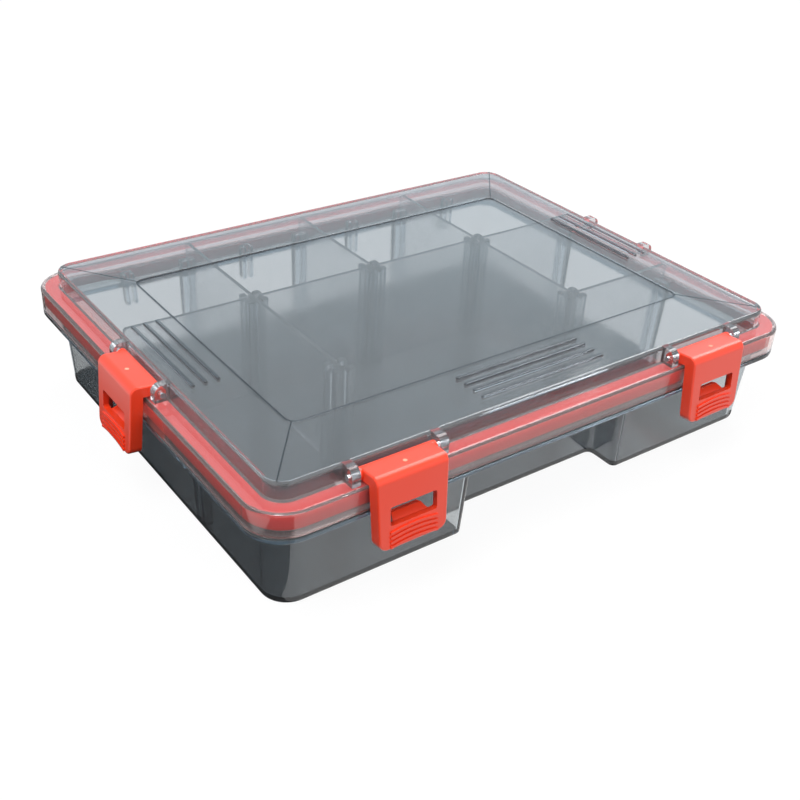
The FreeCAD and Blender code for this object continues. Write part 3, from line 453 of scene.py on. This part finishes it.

# %% [markdown]
# ## Folds of the lid's frame
# The frame round the panel slopes inwards on all four sides, so two slopes meet in a
# fold at each corner, and the fold shows as a hair-thin line. It could be left to the
# shading, but clear plastic hides so flat a fold. So a low bar lies on each, and its
# dark plastic is painted shade for the line: a cube, drawn out along the fold and sunk
# into it.

# %% A bar of painted shade on each fold of the frame
FOLD_INNER = Vector((0.08283, 0.05408, 0.0455))
FOLD_OUTER = Vector((0.1019, 0.0782, 0.0460))
FOLD_WIDTH = 0.0004
FOLD_HEIGHT = 0.0003
FOLD_SINK = 0.0001
bm = bmesh.new()
for side_x, side_y in ((1, 1), (-1, 1), (-1, -1), (1, -1)):
    inner, outer = (Vector((end.x * side_x, end.y * side_y, end.z))
                    for end in (FOLD_INNER, FOLD_OUTER))
    along = (outer - inner).normalized()
    across = along.cross(Vector((0, 0, 1))).normalized()
    up = across.cross(along).normalized()
    place = Matrix.Translation((inner + outer) / 2 - up * FOLD_SINK)
    turn = Matrix((across, along, up)).transposed().to_4x4()
    scale = Matrix.Diagonal((FOLD_WIDTH, (outer - inner).length, FOLD_HEIGHT, 1.0))
    bmesh.ops.create_cube(bm, size=1.0, matrix=place @ turn @ scale)
fold_shades = add_piece("frame_fold_shades", bm, painted_shade_clear)
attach(fold_shades, "lid")

# %% [markdown]
# ## The table
# A product photograph stands its object on a white sweep. A matt white plane could do,
# but it would need so much lamp light that the plastic would glare. So to the camera
# the floor mostly glows and is a little matt, and the matt share keeps the soft shadow
# beside the box. Light that bounces off it towards matt things is kept low, so the
# red latches don't lose their shaded sides.

# %% The floor's plane
FLOOR_REACH = 6.0
FLOOR_DROP = 0.0002
floor_white = bpy.data.materials.new("floor_white")
bm = bmesh.new()
bmesh.ops.create_grid(bm, x_segments=1, y_segments=1, size=FLOOR_REACH)
bmesh.ops.translate(bm, verts=bm.verts[:], vec=(0, 0, -FLOOR_DROP))
floor = add_piece("floor", bm, floor_white)
print("floor", FLOOR_REACH * 2, "m wide")

# %% The floor's matt share and its glow
FLOOR_SEEN = 0.85
FLOOR_BOUNCE = 0.04
floor_white.use_nodes = True
tree = floor_white.node_tree
tree.nodes.clear()
out = add_node(tree, "ShaderNodeOutputMaterial")
matt = add_node(tree, "ShaderNodeBsdfDiffuse")
glow = add_node(tree, "ShaderNodeEmission", {"Strength": 1.0})
path = add_node(tree, "ShaderNodeLightPath")
shade = add_node(tree, "ShaderNodeMapRange",
                 {"To Min": FLOOR_BOUNCE, "To Max": FLOOR_SEEN})
tree.links.new(path.outputs["Is Camera Ray"], shade.inputs["Value"])
tree.links.new(shade.outputs["Result"], matt.inputs["Color"])
print("the matt floor looks", FLOOR_SEEN, "white and bounces", FLOOR_BOUNCE)

# %% [markdown]
# Gloss and glass see the white floor as well, but only where it lies open: in front,
# behind, on the right, far out on the left, and in the hand recess. Under the tray, and
# in a strip along the left side, a mask made of a few comparisons on the floor's own
# coordinates takes the glow away, so there gloss and glass see a nearly black floor.
# This is painted shadow: under the tray it stands for the box's shadow, and beside the
# left wall for deep contact shade, which gives that wall its deep tone.

# %% Where gloss and glass see the floor
FOOT_HALF = (0.1034, 0.0797)
# Where the strip of painted shadow on the left ends, in metres from the middle
PAINTED_SHADE_EDGE = 0.150
RECESS_HALF = 0.034
RECESS_BACK = 0.0677
place = add_node(tree, "ShaderNodeTexCoord")
parts = add_node(tree, "ShaderNodeSeparateXYZ")
tree.links.new(place.outputs["Object"], parts.inputs["Vector"])
x, y = parts.outputs["X"], parts.outputs["Y"]
right = reckon(tree, "GREATER_THAN", x, FOOT_HALF[0])
front_back = reckon(tree, "GREATER_THAN", reckon(tree, "ABSOLUTE", y), FOOT_HALF[1])
not_left = reckon(tree, "GREATER_THAN", x, -FOOT_HALF[0])
near = reckon(tree, "MINIMUM", reckon(tree, "MAXIMUM", right, front_back), not_left)
far_left = reckon(tree, "LESS_THAN", x, -PAINTED_SHADE_EDGE)
narrow = reckon(tree, "LESS_THAN", reckon(tree, "ABSOLUTE", x), RECESS_HALF)
forward = reckon(tree, "LESS_THAN", y, -RECESS_BACK)
recess = reckon(tree, "MINIMUM", narrow, forward)
# Outside this mask gloss and glass see a painted shadow: the nearly black matt floor
lit = reckon(tree, "MAXIMUM", reckon(tree, "MAXIMUM", near, far_left), recess)
print("dark strip from", -FOOT_HALF[0], "to", -PAINTED_SHADE_EDGE, "m")

# %% The floor's glow for each kind of ray
FLOOR_GLOW = 0.93
bent = reckon(tree, "MAXIMUM", path.outputs["Is Transmission Ray"],
              path.outputs["Is Glossy Ray"])
shown = reckon(tree, "MULTIPLY", bent, lit)
seen = reckon(tree, "MULTIPLY", path.outputs["Is Camera Ray"], FLOOR_GLOW)
share = reckon(tree, "MAXIMUM", seen, shown)
mix_shaders(tree, share, matt, glow, out)
print("floor glow for the camera", FLOOR_GLOW)

# %% [markdown]
# ## The sky of the studio
# A studio's walls and ceiling fill the shadows and show in everything that shines. A
# picture of a studio could stand for them, but a plain tone is calmer and needs no
# file. For matt surfaces it is an even pale grey. To the camera and in glass it is
# white, and in gloss it is a little cool. Upwards it dims, as above a table in a
# studio, so that the lid's flat top isn't washed out.

# %% The sky that fills, and the white one that dims upwards
WHITE = (1.0, 1.0, 1.0, 1.0)
SKY_FILL = 0.45
SKY_DIMS = (0.25, 0.75)
SKY_TOP = 0.66
world = bpy.data.worlds.new("studio")
scene.world = world
world.use_nodes = True
tree = world.node_tree
fill = tree.nodes["Background"]
give(fill, {"Color": WHITE, "Strength": SKY_FILL})
white = add_node(tree, "ShaderNodeBackground")
aim = add_node(tree, "ShaderNodeTexCoord")
parts = add_node(tree, "ShaderNodeSeparateXYZ")
dim = add_node(tree, "ShaderNodeMapRange", {
    "From Min": SKY_DIMS[0], "From Max": SKY_DIMS[1], "To Min": 1.0, "To Max": SKY_TOP})
tree.links.new(aim.outputs["Generated"], parts.inputs["Vector"])
tree.links.new(parts.outputs["Z"], dim.inputs["Value"])
tree.links.new(dim.outputs["Result"], white.inputs["Strength"])
print("sky fills with", SKY_FILL, "and dims to", SKY_TOP)

# %% Which rays see which sky
SKY_IN_GLOSS = (0.74, 0.91, 1.0, 1.0)
path = add_node(tree, "ShaderNodeLightPath")
tone = blend_colours(tree, path.outputs["Is Glossy Ray"], WHITE, SKY_IN_GLOSS)
tree.links.new(tone, white.inputs["Color"])
seen = reckon(tree, "MAXIMUM", path.outputs["Is Camera Ray"],
              path.outputs["Is Transmission Ray"])
shown = reckon(tree, "MAXIMUM", seen, path.outputs["Is Glossy Ray"])
mix_shaders(tree, shown, fill, white, tree.nodes["World Output"])
print("sky in gloss", SKY_IN_GLOSS[:3])

# %% [markdown]
# ## The lamps
# Three large soft lamps stand round the box: one above the back right, one low in
# front for the red latches, and one above the left for the side latch. One big lamp
# would be simpler, but it leaves either the front or the side in the dark. The last
# two don't show in gloss, so that they draw no hard lines on rounded edges.

# %% Three soft lamps
# Each row: name, place, width in metres, watts, and whether it shows in gloss
LAMPS = (
    ("key_back_right", (0.9, 0.3, 1.2), 0.9, 13.0, True),
    ("fill_front", (0.15, -1.1, 0.6), 0.8, 8.0, False),
    ("fill_left", (-0.7, -0.1, 1.2), 0.8, 17.0, False),
)
BOX_MIDDLE = Vector((0, 0, 0.02))
for name, where, size, watts, in_gloss in LAMPS:
    data = bpy.data.lights.new(name, "AREA")
    data.shape = "SQUARE"
    data.size = size
    data.energy = watts
    lamp = bpy.data.objects.new(name, data)
    lamp.location = where
    lamp.rotation_euler = (BOX_MIDDLE - Vector(where)).to_track_quat(
        "-Z", "Y").to_euler()
    lamp.visible_glossy = in_gloss
    scene.collection.objects.link(lamp)
    print("lamp", name, size, "m wide,", watts, "W")

# %% [markdown]
# ## The camera
# It stands in front and to the left of the box and looks down on it, rolled a few
# degrees, with the framing of a square product picture. It could be aimed at the box
# by a constraint, but plain numbers keep the roll as well. The view stays in the
# Standard transform, so white is white. Light crosses many clear walls here, one
# behind the other, so it may pass more faces than usual before it is given up.

# %% The camera and the view
CAMERA_PLACE = (-0.225196, -0.293618, 0.227496)
CAMERA_DEGREES = (58.0354, -2.7286, -35.574)
data = bpy.data.cameras.new("camera")
data.sensor_width = 36.0
data.lens = 50.33
data.clip_start = 0.01
camera = bpy.data.objects.new("camera", data)
camera.location = CAMERA_PLACE
camera.rotation_euler = Euler([math.radians(angle) for angle in CAMERA_DEGREES])
scene.collection.objects.link(camera)
scene.camera = camera
scene.view_settings.view_transform = "Standard"
scene.cycles.transmission_bounces = 24
scene.cycles.max_bounces = 28
scene.cycles.transparent_max_bounces = 16
print("camera at", CAMERA_PLACE, "with a lens of", round(data.lens, 2), "mm")

# %% [markdown]
# ## Bringing the scene up to date
# What was added must not make the box bigger than the frame says. Here the scene is
# brought up to date with all of it.

# %% The scene brought up to date
bpy.context.view_layer.update()
